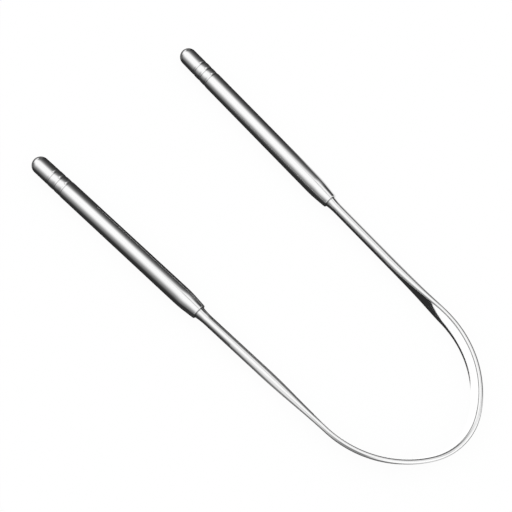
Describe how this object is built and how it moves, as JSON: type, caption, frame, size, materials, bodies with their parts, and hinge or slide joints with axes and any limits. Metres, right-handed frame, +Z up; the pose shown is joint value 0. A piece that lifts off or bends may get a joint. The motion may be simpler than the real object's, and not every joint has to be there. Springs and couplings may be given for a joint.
{
  "type": "tongue scraper",
  "caption": "Steel tongue scraper: a rod bent into a U and rolled flat round its arch, with round tubular handles, swaged noses and grooved domed end plugs.",
  "frame": {"origin": "middle of the bounding box's underside, between the arms", "axes": "+Y towards the arch, +Z up and square to the plane of the U, +X towards the right-hand handle"},
  "size_m": [0.0678, 0.1524, 0.006],
  "materials": {
    "loop_steel": "polished stainless steel",
    "tube_steel": "polished stainless steel",
    "plug_steel": "polished stainless steel, turned grooves"
  },
  "bodies": {
    "root": {"scraping_loop": "loop_steel", "right_handle_tube": "tube_steel", "left_handle_tube": "tube_steel", "right_end_plug": "plug_steel", "left_end_plug": "plug_steel"}
  },
  "joints": []
}
